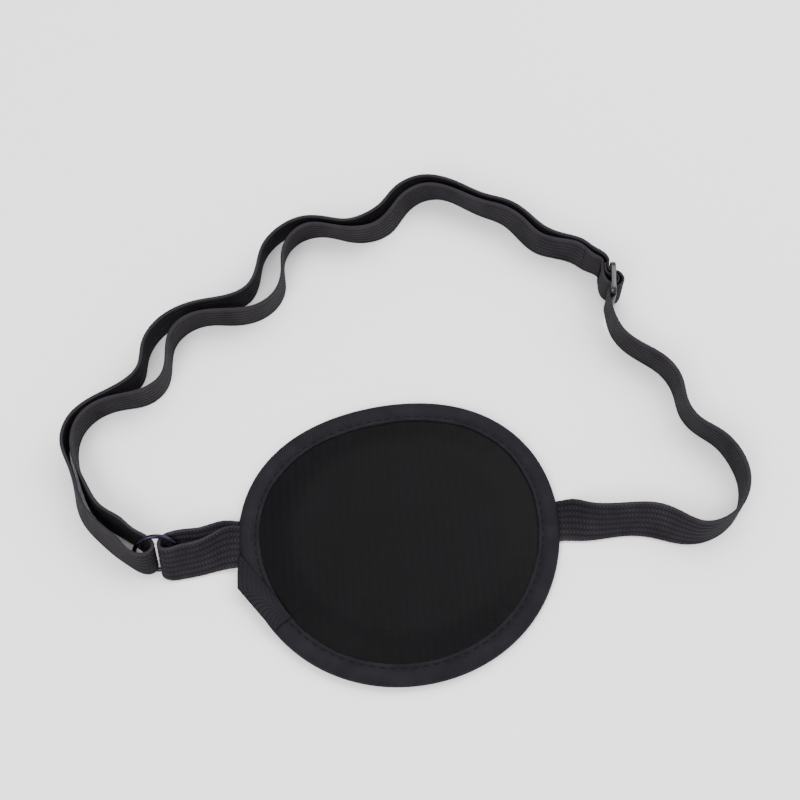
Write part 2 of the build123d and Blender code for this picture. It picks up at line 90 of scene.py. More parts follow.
def spline(knots: np.ndarray, values: np.ndarray, at: np.ndarray) -> np.ndarray:
    """Natural cubic curve through values at knots.

    Second derivatives come from the usual row per knot, with none at the two ends; each stretch is then the
    cubic that has its two values and its two second derivatives.

    Args:
        knots: Rising places of the values.
        values: One row per knot.
        at: Places to read, between the first and last knot.

    Returns:
        One row per place.
    """
    step = np.diff(knots)
    count = len(knots)
    inner = np.arange(1, count - 1)
    rows = np.eye(count)
    rows[inner, inner - 1] = step[:-1]
    rows[inner, inner] = 2 * (step[:-1] + step[1:])
    rows[inner, inner + 1] = step[1:]
    slope = np.diff(values, axis=0) / step[:, None]
    right = np.zeros(values.shape)
    right[1:-1] = 6 * np.diff(slope, axis=0)
    bend = np.linalg.solve(rows, right)
    k = np.clip(np.searchsorted(knots, at, side="right") - 1, 0, count - 2)
    size, after = step[k][:, None], (at - knots[k])[:, None]
    before = size - after
    curved = (bend[k] * before**3 + bend[k + 1] * after**3) / (6 * size)
    straight = (values[k] / size - bend[k] * size / 6) * before
    return curved + straight + (values[k + 1] / size - bend[k + 1] * size / 6) * after


def through(points: list[tuple[float, ...]], count: int) -> np.ndarray:
    """Even samples of a natural cubic curve through given points.

    Args:
        points: The points, in any number of dimensions.
        count: How many samples.

    Returns:
        Array of count rows.
    """
    given = np.array(points, float)
    knots = np.r_[0, np.cumsum(np.linalg.norm(np.diff(given, axis=0), axis=1))]
    return spline(knots, given, np.linspace(0, knots[-1], count))


def grid_object(
    name: str, grid: np.ndarray, uv: np.ndarray | None = None, wrap_rows: bool = False
) -> Piece:
    """Closed mesh from one or more grids of points.

    Neighbouring points of a grid make quads. Its columns close on themselves; its rows close on themselves
    or end in a flat cap. The faces are turned outwards by the sign of the enclosed volume, which is the sum
    over edges from a point inside.

    Args:
        name: The object's name.
        grid: Points in millimetres, shaped (rows, columns, 3) or (copies, rows, columns, 3).
        uv: Pattern places, shaped like the grid with 2 in place of 3.
        wrap_rows: Whether the last row joins the first.

    Returns:
        The object, in the scene.
    """
    copies = grid if grid.ndim == 4 else grid[None]
    many, rows, columns = copies.shape[:3]
    places = copies.reshape(-1, 3).copy()
    places[:, 2] = np.maximum(places[:, 2], TABLE_CLEAR)
    index = np.arange(many * rows * columns).reshape(many, rows, columns)
    ahead = np.roll(index, -1, axis=1) if wrap_rows else index[:, 1:]
    here = index if wrap_rows else index[:, :-1]
    quads = np.stack([here, np.roll(here, -1, 2), np.roll(ahead, -1, 2), ahead], -1).reshape(-1, 4)
    caps = np.zeros((0, columns), int) if wrap_rows else np.concatenate([index[:, 0, ::-1], index[:, -1]])
    corner = places[quads] - places.mean(0)
    volume = np.einsum("ij,ij->", np.cross(corner[:, 0], corner[:, 1]), corner[:, 2])
    volume += np.einsum("ij,ij->", np.cross(corner[:, 0], corner[:, 2]), corner[:, 3])
    if volume < 0:
        quads, caps = quads[:, ::-1], caps[:, ::-1]
    mesh = bpy.data.meshes.new(name)
    mesh.from_pydata((places * MM).tolist(), [], quads.tolist() + caps.tolist())
    smooth = np.ones(len(mesh.polygons), bool)
    smooth[len(quads):] = False
    mesh.polygons.foreach_set("use_smooth", smooth)
    if uv is not None:
        corners = np.zeros(len(mesh.loops), np.int32)
        mesh.loops.foreach_get("vertex_index", corners)
        layer = mesh.uv_layers.new(name="weave")
        layer.data.foreach_set("uv", uv.reshape(-1, 2)[corners].astype(np.float32).ravel())
    made = bpy.data.objects.new(name, mesh)
    bpy.context.scene.collection.objects.link(made)
    log.info("%s: %d faces", name, len(mesh.polygons))
    return made


def carry(
    centres: np.ndarray, side: np.ndarray, up: np.ndarray, section: np.ndarray
) -> np.ndarray:
    """Grid of a section carried along a line: centre plus side and up times the section's two coordinates.

    Args:
        centres: Points of the line.
        side: Direction of the section's first coordinate at each point.
        up: Direction of its second coordinate.
        section: Closed outline, one for all points or one for each.

    Returns:
        Grid with a row for each point of the line.
    """
    outline = np.broadcast_to(section, (len(centres), *section.shape[-2:]))
    return centres[:, None] + side[:, None] * outline[..., :1] + up[:, None] * outline[..., 1:]


def rounded(width: float, height: float, squareness: float, count: int) -> np.ndarray:
    """Superellipse outline: cosine and sine of an even turn, each raised to 2 over the squareness.

    Args:
        width: Full size along the first coordinate.
        height: Full size along the second.
        squareness: 2 is an ellipse, and more is squarer.
        count: Number of points.

    Returns:
        Array of count points.
    """
    turn = np.linspace(0, 2 * np.pi, count, endpoint=False)
    wave = np.stack([np.cos(turn), np.sin(turn)], 1)
    return np.sign(wave) * np.abs(wave) ** (2 / squareness) * np.array([width, height]) / 2


def thread_grid(path: np.ndarray, radius: float) -> np.ndarray:
    """Round thread along a line, with its section square to the way it runs.

    Args:
        path: Points of the line.
        radius: The thread's radius.

    Returns:
        Grid of the thread's surface.
    """
    way = np.gradient(path, axis=0)
    way /= np.linalg.norm(way, axis=1, keepdims=True)
    helper = np.where(np.abs(way[:, 2:]) < 0.9, [[0.0, 0.0, 1.0]], [[1.0, 0.0, 0.0]])
    side = np.cross(way, helper)
    side /= np.linalg.norm(side, axis=1, keepdims=True)
    return carry(path, side, np.cross(side, way), rounded(2 * radius, 2 * radius, 2, 8))


# ---- finishes ----
def linear(code: str, alpha: float = 1.0) -> tuple[float, float, float, float]:
    """Turns an sRGB hex colour to linear values.

    Args:
        code: Six hex digits after a hash.
        alpha: Opacity to add.

    Returns:
        Red, green, blue and alpha.
    """
    values = [int(code[i : i + 2], 16) / 255 for i in (1, 3, 5)]
    bent = [v / 12.92 if v <= 0.04045 else ((v + 0.055) / 1.055) ** 2.4 for v in values]
    return (*bent, alpha)


def add_node(
    tree: Tree, kind: str, inputs: dict | None = None, **settings: object
) -> bpy.types.Node:
    """Adds a node, sets its properties, and fills or links its sockets.

    Args:
        tree: The node tree.
        kind: The node's type, after "ShaderNode".
        inputs: Socket name or number to a value, or to the output socket that feeds it.
        **settings: Properties of the node.

    Returns:
        The node.
    """
    made = tree.nodes.new("ShaderNode" + kind)
    for key, value in settings.items():
        setattr(made, key, value)
    for key, value in (inputs or {}).items():
        if isinstance(value, Socket):
            tree.links.new(value, made.inputs[key])
        else:
            made.inputs[key].default_value = value
    return made


@dataclass(frozen=True)
class Finish:
    """Surface of one real material: two colours that its pattern mixes, and how it takes the light."""

    name: str
    dark: str
    light: str
    roughness: float
    metallic: float = 0.0
    coat: float = 0.0
    coat_roughness: float = 0.08
    relief: float = 0.0  # height of the pattern's relief
    ior: float = 1.5
    specular: float = 0.5

    def pattern(self, tree: Tree) -> tuple[Socket, Socket]:
        """Builds the pattern.

        Args:
            tree: The material's node tree.

        Returns:
            Share of the light colour, and height of the relief from 0 to 1.
        """
        raise NotImplementedError

    def material(self) -> bpy.types.Material:
        """Builds the material once, and returns it again after that.

        Returns:
            The material.
        """
        known = bpy.data.materials.get(self.name)
        if known:
            return known
        made = bpy.data.materials.new(self.name)
        made.use_nodes = True
        tree = made.node_tree
        shader = tree.nodes["Principled BSDF"]
        sockets = {
            "Roughness": self.roughness,
            "Metallic": self.metallic,
            "Coat Weight": self.coat,
            "Coat Roughness": self.coat_roughness,
            "IOR": self.ior,
            "Specular IOR Level": self.specular,
        }
        for socket, value in sockets.items():
            shader.inputs[socket].default_value = value
        share, height = self.pattern(tree)
        mixed = add_node(tree, "Mix", {}, data_type="RGBA")
        tree.links.new(share, mixed.inputs["Factor"])
        mixed.inputs[6].default_value = linear(self.dark)
        mixed.inputs[7].default_value = linear(self.light)
        tree.links.new(mixed.outputs[2], shader.inputs["Base Color"])
        if self.relief:
            bump = add_node(tree, "Bump", {"Height": height, "Strength": 1.0, "Distance": self.relief * MM})
            tree.links.new(bump.outputs[0], shader.inputs["Normal"])
        return made

    def dress(self, obj: Piece, slot: str) -> Piece:
        """Puts the finish on a piece."""
        obj.data.materials.clear()
        obj.data.materials.append(self.material())
        return obj

    def math(self, tree: Tree, operation: str, *values: object) -> Socket:
        """Result of one sum on numbers or sockets."""
        return add_node(tree, "Math", dict(enumerate(values)), operation=operation).outputs[0]

    def on_object(self, tree: Tree) -> Socket:
        """Place on the piece, in metres."""
        return add_node(tree, "TexCoord").outputs["Object"]

    def on_tape(self, tree: Tree) -> Socket:
        """Place on the piece's own map, which counts across and along the tape."""
        return add_node(tree, "UVMap", uv_map="weave").outputs[0]

    def split(self, tree: Tree, place: Socket) -> bpy.types.NodeOutputs:
        """A place's three numbers."""
        return add_node(tree, "SeparateXYZ", {0: place}).outputs

    def cloud(
        self, tree: Tree, place: Socket, scale: float, detail: float = 2.0
    ) -> Socket:
        """Slow uneven shade from 0 to 1."""
        return add_node(tree, "TexNoise", {"Vector": place, "Scale": scale, "Detail": detail}).outputs[0]

    def ridges(self, tree: Tree, place: Socket, period: float) -> Socket:
        """Rows of round threads: the size of the sine of half a turn per thread."""
        turned = self.math(tree, "MULTIPLY", place, math.pi / period)
        return self.math(tree, "ABSOLUTE", self.math(tree, "SINE", turned))


@dataclass(frozen=True)
class Weave(Finish):
    """Woven cloth: threads across and along, the light one floating over, and a slow uneven shade."""

    across: float = 0.5  # spacing of the threads that show as fine lines
    along: float = 0.9  # spacing of the threads they cross
    slant: float = 0.0  # how far the crossing moves with each line, as on twill
    line_share: float = 0.65  # how much of the pattern the fine lines make
    patch_size: float = 14.0  # size of the lighter and darker patches

    def pattern(self, tree: Tree) -> tuple[Socket, Socket]:
        """Fine lines from one set of threads, broken by the other, over a cloudy shade."""
        place = self.on_object(tree)
        parts = self.split(tree, place)
        lines = self.ridges(tree, parts[1], self.across * MM)
        shifted = self.math(tree, "MULTIPLY_ADD", parts[1], self.slant, parts[0])
        breaks = self.ridges(tree, shifted, self.along * MM)
        cloud = self.cloud(tree, place, 1 / (self.patch_size * MM), 3.0)
        woven = self.math(tree, "MULTIPLY", lines, self.line_share)
        threads = self.math(tree, "MULTIPLY_ADD", breaks, 1 - self.line_share, woven)
        return self.math(tree, "MULTIPLY", threads, cloud), threads


@dataclass(frozen=True)
class Foam(Finish):
    """Open-cell polyurethane foam, cut from a sheet: fine pores."""

    pore: float = 0.5  # size of a cell

    def pattern(self, tree: Tree) -> tuple[Socket, Socket]:
        """Cells, dark in their middles."""
        place = self.on_object(tree)
        cells = add_node(tree, "TexVoronoi", {"Vector": place, "Scale": 1 / (self.pore * MM)})
        return cells.outputs["Distance"], cells.outputs["Distance"]


@dataclass(frozen=True)
class Tape(Finish):
    """Folded polyester binding tape: matte, with fine cross-wise cords that follow the tape."""

    cord: float = 0.75  # spacing of the cords
    slant: float = 0.6  # how far a cord moves along the tape as it crosses it
    cord_share: float = 0.7  # how much of the pattern the cords make

    def pattern(self, tree: Tree) -> tuple[Socket, Socket]:
        """Cords across the tape, with a broken thread along it; the map is in millimetres."""
        place = self.on_tape(tree)
        parts = self.split(tree, place)
        leaning = self.math(tree, "MULTIPLY_ADD", parts[0], self.slant, parts[1])
        cords = self.math(tree, "MULTIPLY", self.ridges(tree, leaning, self.cord), self.cord_share)
        threads = self.ridges(tree, parts[0], self.cord * 0.9)
        woven = self.math(tree, "MULTIPLY_ADD", threads, 1 - self.cord_share, cords)
        return self.math(tree, "MULTIPLY", woven, self.cloud(tree, place, 0.12, 3.0)), woven


@dataclass(frozen=True)
class Knit(Finish):
    """Braided elastic: round ribs that run along it, each of slanting yarns, and a pale firm edge; its
    colour has painted light on the ribs' tops and painted shade between them.

    The map counts ribs across and millimetres along.
    """

    ribs: int = 7
    yarn: float = 0.95  # spacing of the yarns along a rib
    point: float = 1.5  # how far the yarns' points run ahead of their ends
    edge_light: float = 0.4  # how much paler the firm edge is

    def pattern(self, tree: Tree) -> tuple[Socket, Socket]:
        """Painted light on the tops of the ribs and painted shade between them, crossed by yarns that meet
        in a point on each rib.
        """
        place = self.on_tape(tree)
        parts = self.split(tree, place)
        ribs = self.ridges(tree, parts[0], 1.0)
        inside = self.math(tree, "FRACT", parts[0])
        apart = self.math(tree, "ABSOLUTE", self.math(tree, "SUBTRACT", inside, 0.5))
        slanting = self.math(tree, "MULTIPLY_ADD", apart, self.point, parts[1])
        yarns = self.ridges(tree, slanting, self.yarn)
        middle = self.math(tree, "ABSOLUTE", self.math(tree, "SUBTRACT", parts[0], self.ribs / 2))
        edge = self.math(tree, "GREATER_THAN", middle, self.ribs / 2 - 0.3)
        knit_relief_and_rib_shade = self.math(tree, "MULTIPLY", self.math(tree, "POWER", ribs, 0.7), yarns)
        # painted light on the tops of ribs and yarns, painted shade in the grooves between them
        painted_rib_light = self.math(tree, "MULTIPLY_ADD", knit_relief_and_rib_shade, 0.75, 0.1)
        clouded_rib_light = self.math(tree, "MULTIPLY", painted_rib_light, self.cloud(tree, place, 0.15))
        body = self.math(tree, "MULTIPLY", clouded_rib_light, 1.3)
        return self.math(tree, "MULTIPLY_ADD", edge, self.edge_light, body), knit_relief_and_rib_shade


@dataclass(frozen=True)
class Thread(Finish):
    """Spun polyester sewing thread: a soft shine broken by its twist."""

    ply: float = 0.3  # spacing of the plies, coarse enough to show

    def pattern(self, tree: Tree) -> tuple[Socket, Socket]:
        """Slanting plies."""
        place = self.on_object(tree)
        parts = self.split(tree, place)
        slanting = self.math(tree, "ADD", parts[0], self.math(tree, "ADD", parts[1], parts[2]))
        plies = self.ridges(tree, slanting, self.ply * MM)
        return plies, plies


@dataclass(frozen=True)
class Metal(Finish):
    """Drawn or stamped metal, plated or enamelled: cloudy shade with fine handling marks."""

    mark: float = 0.4  # size of the marks
    tarnish: float = 3.0  # size of the cloudy shade

    def pattern(self, tree: Tree) -> tuple[Socket, Socket]:
        """Noise at two sizes."""
        place = self.on_object(tree)
        clouds = self.cloud(tree, place, 1 / (self.tarnish * MM))
        return clouds, self.cloud(tree, place, 1 / (self.mark * MM), 4.0)


@dataclass(frozen=True)
class Floor(Finish):
    """Matte white paper sweep."""

    def pattern(self, tree: Tree) -> tuple[Socket, Socket]:
        """A very faint cloud."""
        place = self.on_object(tree)
        cloud = self.cloud(tree, place, 6.0)
        return cloud, cloud


# near-black and smooth, with lines so fine that they only show near its edge
SATIN = Weave(
    "Polyester satin, woven", "#020203", "#09090c", 0.5, specular=0.07, relief=0.03, across=0.62, along=2.4
)
# a little greyer than the face, with a fine slanting grain
LINING = Weave(
    "Polyester taffeta lining", "#040405", "#161518", 0.65, specular=0.12, relief=0.04, slant=0.5
)
# dull and dark, broken by pores
PAD_FOAM = Foam("Polyurethane foam", "#0a0a0b", "#1c1c1e", 0.9, specular=0.1, relief=0.1)
# matte and a shade lighter than the face, with slanting cords that frame it
BINDING = Tape("Polyester twill binding tape", "#0b0b0e", "#25242a", 0.8, specular=0.1, relief=0.05)
# charcoal ribs of small arrowheads, with painted light on the ribs' tops, painted shade between them, and
# paler edges
ELASTIC = Knit("Braided polyester elastic", "#08070a", "#343036", 0.75, specular=0.1, relief=0.12)
# dark and dull, so that the stitches show by their shape
THREAD = Thread("Spun polyester thread", "#060507", "#141316", 0.8, specular=0.08, relief=0.03)
# dark mirror with a blue-violet cast
PLATED_STEEL = Metal(
    "Black nickel plated steel wire", "#15131c", "#363145", 0.16, metallic=1.0, relief=0.004
)
# black with clean pale highlights along the rails
ENAMEL = Metal("Stoved enamel on steel", "#030303", "#080809", 0.3, specular=0.35, coat=0.35, relief=0.006)
# plain and pale, so that dark edges read against it
PAPER = Floor("White paper", "#f4f4f4", "#fafafa", 0.9)


# ---- patch ----
@dataclass
class Outline:
    """Egg-shaped outline: a tilted ellipse, a little fuller at three places and at four round it.

    Its X is half the width times the cosine of the turn and its Y half the height times the sine. Each
    lobe adds a cosine wave to both halves.
    """

    width: float = 90.4
    height: float = 83.2
    tilt: float = 6.9
    middle: tuple[float, float] = (0.0, -1.6)
    lobes: tuple[tuple[int, float, float], ...] = (  # how many places, by how much, turn of the first
        (3, 0.8, 31.5),
        (4, 0.4, 45.0),
    )

    def at(self, turn: np.ndarray, inset: np.ndarray | float = 0.0) -> np.ndarray:
        """Points at turns in radians, moved in by inset.

        Args:
            turn: Turns from +X.
            inset: Distance in from the edge.

        Returns:
            X and Y of each.
        """
        tilt = math.radians(self.tilt)
        angle = turn - tilt
        lobes = [rise * np.cos(count * (angle - math.radians(first))) for count, rise, first in self.lobes]
        fuller = sum(lobes) - inset
        x, y = (self.width / 2 + fuller) * np.cos(angle), (self.height / 2 + fuller) * np.sin(angle)
        across = x * math.cos(tilt) - y * math.sin(tilt)
        up = x * math.sin(tilt) + y * math.cos(tilt)
        return np.stack([self.middle[0] + across, self.middle[1] + up], -1)


@dataclass
class PaddedPatch:
    """Face cloth, foam and lining, bound at the edge with a folded tape whose end laps its start."""

    outline: Outline = field(default_factory=Outline)
    turns: int = 320
    cloth: float = 0.5
    tape: float = 0.6
    reach: float = 5.5  # tape over the face and the lining
    seam_inset: float = 4.2
    edge_top: float = 3.0
    middle_top: float = 4.75
    lining_edge: float = 0.8
    slope: float = 12.0
    stitches: int = 88
    lap_turns: tuple[float, float, float] = (182.0, 206.0, 216.0)  # fold at rim, fold at inner edge, end
    lap_corner: tuple[float, float] = (-46.4, -13.4)
    elastic_depth: float = 9.2
    strap_y: float = 0.6
    tab_y: float = 0.2
    strap_band: tuple[float, float] = (7.6, 1.05)  # half width and height of the rise over the strap's end
    tab_band: tuple[float, float] = (8.6, 1.85)  # and over the tab's two layers
    band_start: float = 3.0  # length in which the rise starts
    band_side: float = 1.6  # width of its sloping sides
    lap_top: float = 4.42  # top of the lapped tape
    stitch_heights: tuple[float, float] = (3.4, 0.2)  # middles of the front and back stitches
    stitch_radius: float = 0.2
    pucker_waves: tuple[int, ...] = (17, 24, 31, 38, 45, 52)  # puckers round the seam, as waves in one turn
    pucker_run: float = 3.5  # how far in from the tape they fade
    dips: tuple[float, float] = (9.0, 11.0)  # sizes of the slow dips in the face, along X and Y
    face_wave: float = 0.09  # height of the puckers and dips
    stitch_pucker: float = 0.05  # how far each stitch draws the tape in
    tape_pucker: float = 0.09  # uneven edge of the tape between stitches
    layer_clear: float = 0.05  # between the foam and the cloths
    foam_short: float = 0.6  # foam's edge in from the cloths'
    centre_gap: float = 0.4  # from the innermost ring of points to the middle
    rows: tuple[int, int] = (12, 34)  # rings of points over the level middle and over the slope
    groove: tuple[float, float] = (0.32, 0.5)  # depth and half width of the seam's groove in the lap
    lap_fall: tuple[float, float] = (0.55, 1.6)  # the lap's turn down at the rim, and its width
    corner_reach: float = 2.4  # radius of the lap's corner that stands out

    def lift(self, places: np.ndarray) -> np.ndarray:
        """How far the back gives way over the elastics' sewn ends: a level top with soft sides.

        Args:
            places: X and Y of points.

        Returns:
            Rise at each point.
        """
        x, y = places[..., 0], places[..., 1]
        end = self.outline.width / 2 - self.elastic_depth - self.band_start / 2
        rise = np.zeros(x.shape)
        sides = ((x, y - self.strap_y, self.strap_band), (-x, y - self.tab_y, self.tab_band))
        for outward, off_middle, (half, height) in sides:
            along = smooth_step((outward - end) / self.band_start)
            rise += height * along * smooth_step((half - np.abs(off_middle)) / self.band_side)
        return rise

    def layer(self, name: str, profile: list[tuple[float, float]], wave: float, under: bool) -> Piece:
        """Closed layer of the patch: the outline shrunk about its middle, ring by ring, at given heights.

        Args:
            name: The piece's name.
            profile: Inset and height, from the middle of the top round the edge to the middle below.
            wave: Height of the slow unevenness in the cloth.
            under: Whether it gives way over the sewn ends.

        Returns:
            The piece.
        """
        turn = np.linspace(0, 2 * np.pi, self.turns, endpoint=False)
        rim = self.outline.at(turn)
        middle = np.array(self.outline.middle)
        half = self.outline.width / 2
        rings = np.array(profile)
        share = 1 - rings[:, :1] / half
        flat = middle + (rim - middle)[None] * share[..., None]
        puckers = np.zeros(len(turn))
        for waves, phase in zip(self.pucker_waves, UNEVEN.uniform(0, 6.3, len(self.pucker_waves))):
            puckers += np.sin(waves * turn + phase) / len(self.pucker_waves)
        near_seam = np.exp(-(((rings[:, :1] - self.reach - 1.0) / self.pucker_run) ** 2))
        slow = np.sin(flat[..., 0] / self.dips[0] + 1.0) * np.sin(flat[..., 1] / self.dips[1] + 0.4)
        height = rings[:, 1:] + wave * (near_seam * puckers + 0.8 * slow * (1 - np.abs(share - 0.5)))
        if under:
            height = height + self.lift(flat)
        return grid_object(name, np.concatenate([flat, height[..., None]], 2))

    def crown(self, edge: float, middle: float) -> list[tuple[float, float]]:
        """Insets and heights from the middle to the edge: level, then a soft slope to the pressed edge."""
        level = np.linspace(40, self.slope + 6, self.rows[0])
        sloping = np.linspace(self.slope + 4, 0, self.rows[1])
        insets = np.r_[self.outline.width / 2 - self.centre_gap, level, sloping]
        rise = smooth_step((insets - self.seam_inset) / self.slope) ** 0.8
        return list(zip(insets.tolist(), (edge + (middle - edge) * rise).tolist()))

    def layers(self) -> dict[str, Piece]:
        """Builds the face cloth, the foam and the lining.

        Returns:
            The pieces by name.
        """
        top = self.crown(self.edge_top, self.middle_top)
        under_face = [(i, z - self.cloth) for i, z in reversed(top)]
        bottom = self.crown(self.lining_edge, self.layer_clear)
        foam_bottom = [(i, z + self.cloth + self.layer_clear) for i, z in reversed(bottom)]
        foam_top = [(i + self.foam_short, z - self.cloth - self.layer_clear) for i, z in top]
        lining_top = [(i, z + self.cloth) for i, z in bottom]
        return {
            "face_cloth": self.layer("face_cloth", top + under_face, self.face_wave, False),
            "pad_foam": self.layer("pad_foam", foam_top + foam_bottom, 0.0, False),
            "back_lining": self.layer("back_lining", lining_top + list(reversed(bottom)), 0.0, True),
        }

    def binding(self) -> Piece:
        """Folded tape round the edge: its section carried round the outline, pressed in along the seam.

        Returns:
            The piece.
        """
        outer = through(
            [
                (self.reach, 3.3), (self.reach - 0.15, 3.62), (4.85, 3.72), (self.seam_inset, 3.42),
                (3.3, 3.78), (1.7, 3.86), (0.45, 3.58), (-0.35, 2.85), (-0.6, 1.9), (-0.35, 0.95),
                (0.45, 0.3), (1.7, 0.12), (3.3, 0.14), (self.seam_inset, 0.32), (4.85, 0.12),
                (self.reach, 0.25),
            ],
            60,
        )
        inner = through(
            [
                (self.reach, 0.75), (self.seam_inset, 0.86), (1.8, 0.72), (0.75, 0.95), (0.1, 1.9),
                (0.75, 2.8), (1.8, 3.22), (self.seam_inset, 2.95), (self.reach, 3.1),
            ],
            36,
        )
        section = np.concatenate([outer, inner])
        turn = np.linspace(0, 2 * np.pi, 2 * self.turns, endpoint=False)
        uneven = np.resize(UNEVEN.normal(0, self.tape_pucker, 60), 61)
        puckers = np.sin(turn * self.stitches) * self.stitch_pucker
        puckers = puckers + np.interp(turn, np.linspace(0, 2 * np.pi, 61), uneven)
        inset = section[:, 0][None] + puckers[:, None] * smooth_step((section[:, 0] - 4.4) / 1.0)[None]
        flat = self.outline.at(turn[:, None], inset)
        soft = np.exp(-(((section[:, 0] - 2.2) / 1.4) ** 2))[None] * puckers[:, None] * 0.5
        low = smooth_step((2.4 - section[:, 1]) / 1.6)[None]
        height = section[:, 1][None] + soft * np.sign(section[:, 1] - 2)[None] + self.lift(flat) * low
        run = turn[:, None] * self.outline.width / 2
        across = np.r_[np.linspace(0, 16, 60), np.linspace(16, 0, 36)][None]
        uv = np.stack(np.broadcast_arrays(across, run), -1)
        return grid_object("binding_tape", np.concatenate([flat, height[..., None]], 2), uv, wrap_rows=True)

    def lap(self) -> Piece:
        """Tape's end, folded under on the slant and lapped over its start, with one corner standing out.

        Each row runs from the rim side, which goes by way of the standing corner, to the inner edge.

        Returns:
            The piece.
        """
        rim_turn, inner_turn, end_turn = np.radians(self.lap_turns)
        start, finish = self.outline.at(np.array([rim_turn, end_turn]), -0.55)
        bulge = (start + self.lap_corner) / 2 - [0.25, 0.0]
        rim = through([tuple(start), tuple(bulge), self.lap_corner], 20)
        back = through([self.lap_corner, tuple((finish + self.lap_corner) / 2), tuple(finish)], 16)
        outer = np.concatenate([rim, back[1:]])
        along = np.linspace(0, 1, len(outer))
        inner_turns = inner_turn + (end_turn - inner_turn) * smooth_step((along - 0.15) / 0.85)
        inner = self.outline.at(inner_turns, self.reach - 0.1)
        fold = self.outline.at(rim_turn)
        share = np.linspace(0, 1, 18)[None, :, None]
        flat = outer[:, None] * (1 - share) + inner[:, None] * share
        inset = share[..., 0] * self.reach
        fall, fall_width = self.lap_fall
        depth, half_width = self.groove
        roll = -fall * (1 - smooth_step(inset / fall_width))
        roll = roll - depth * np.exp(-(((inset - self.seam_inset) / half_width) ** 2))
        away = np.linalg.norm(flat - np.array(self.lap_corner), axis=-1)
        corner = np.exp(-((away / self.corner_reach) ** 2))
        top = self.lap_top + roll * (1 - corner) - 0.25 * corner
        top = top + 0.12 * np.exp(-(np.linalg.norm(flat - fold, axis=-1) / 3) ** 2)
        upper = np.concatenate([flat, top[..., None]], 2)
        lower = np.concatenate([flat, (top - self.tape)[..., None]], 2)[:, ::-1]
        across = np.r_[np.linspace(0, 6, 18), np.linspace(6, 0, 18)][None]
        uv = np.stack(np.broadcast_arrays(across, (along * 16)[:, None]), -1)
        return grid_object("binding_lap_end", np.concatenate([upper, lower], 1), uv)

    def seam(self, name: str, top: bool) -> Piece:
        """Row of stitches sunk in the tape: one small rounded bar carried to every place on the seam.

        Args:
            name: The piece's name.
            top: Whether it is the row on the face.

        Returns:
            The piece.
        """
        degrees = 360 * (np.arange(self.stitches) + 0.5) / self.stitches
        rim_turn, _, end_turn = self.lap_turns
        side = np.minimum(np.minimum(np.abs(degrees - 180), degrees), 360 - degrees)
        shown = ~((degrees > rim_turn + 18) & (degrees < end_turn)) if top else side > 13
        turn = np.radians(degrees[shown])
        place = self.outline.at(turn, self.seam_inset)
        way = self.outline.at(turn + 0.01, self.seam_inset) - place
        way /= np.linalg.norm(way, axis=1, keepdims=True)
        along = np.linspace(-1.0, 1.0, 9)
        radius = self.stitch_radius * np.sqrt(1 - (along * 0.97) ** 2)
        section = rounded(2, 1.3, 2, 8)
        height = self.stitch_heights[0 if top else 1]
        x = place[:, None, None, 0] + way[:, None, None, 0] * along[None, :, None]
        x = x - way[:, None, None, 1] * radius[None, :, None] * section[None, None, :, 0]
        y = place[:, None, None, 1] + way[:, None, None, 1] * along[None, :, None]
        y = y + way[:, None, None, 0] * radius[None, :, None] * section[None, None, :, 0]
        z = height + radius[None, :, None] * section[None, None, :, 1]
        return grid_object(name, np.stack(np.broadcast_arrays(x, y, z), -1))

    def build(self) -> None:
        """Builds and dresses every layer, and says which frame nodes each stands for."""
        made = self.layers()
        face, foam, lining = made["face_cloth"], made["pad_foam"], made["back_lining"]
        SATIN.dress(face, "face")
        PAD_FOAM.dress(foam, "foam")
        LINING.dress(lining, "lining")
        tape, lap = self.binding(), self.lap()
        front, back = self.seam("needle_stitches", True), self.seam("bobbin_stitches", False)
        BINDING.dress(tape, "binding")
        BINDING.dress(lap, "binding")
        THREAD.dress(front, "thread")
        THREAD.dress(back, "thread")
        stands_for = {
            "face_fabric": face,
            "foam_core": foam,
            "lining": lining,
            "edge_binding": tape,
            "binding_lap": lap,
            "needle_thread": front,
            "bobbin_thread": back,
        }
        for node, piece in stands_for.items():
            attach(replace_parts(piece, node), Body.PATCH.value)


